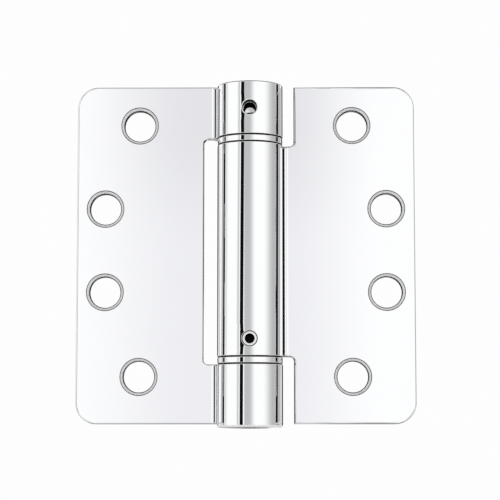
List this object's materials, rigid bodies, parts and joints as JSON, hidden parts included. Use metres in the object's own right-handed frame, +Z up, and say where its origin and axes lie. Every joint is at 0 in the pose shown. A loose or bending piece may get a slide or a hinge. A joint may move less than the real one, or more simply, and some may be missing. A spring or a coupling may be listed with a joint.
{
  "type": "spring hinge",
  "caption": "Self-closing door hinge: square leaves of folded sheet with rounded corners and countersunk screw holes, on a barrel that holds an adjustable torsion spring.",
  "frame": {"origin": "on the barrel's axis at the mid-height of the leaves, with the hinge opened flat", "axes": "+Z up along the barrel, +X out to the door leaf, +Y to the backs of the leaves"},
  "size_m": [0.1016, 0.0196, 0.1028],
  "materials": {
    "polished_chrome": "mirror polished plating",
    "bright_steel": "turned and bright plated",
    "spring_steel": "oiled, dark",
    "bearing_nylon": "natural, matt"
  },
  "bodies": {
    "frame_side": {"frame_leaf": "polished_chrome", "upper_thrust_washer": "polished_chrome", "lower_thrust_washer": "polished_chrome", "lower_bushing": "bearing_nylon", "bottom_plug": "polished_chrome"},
    "door_side": {"door_leaf": "polished_chrome", "upper_bushing": "bearing_nylon", "lower_spindle": "bright_steel", "anchor_pin": "bright_steel", "torsion_spring": "spring_steel"},
    "adjuster": {"tension_adjuster": "bright_steel"}
  },
  "joints": [
    {"name": "leaf_swing", "type": "hinge", "parent": "frame_side", "child": "door_side", "pos_m": [0, 0, 0], "axis": [0, 0, -1], "range_deg": [0, 180]},
    {"name": "tension_adjust", "type": "hinge", "parent": "door_side", "child": "adjuster", "pos_m": [0, 0, 0.0428], "axis": [0, 0, -1], "range_deg": [0, 360], "stiffness_Nm_per_rad": 0.9, "deforming": ["torsion_spring"]}
  ]
}
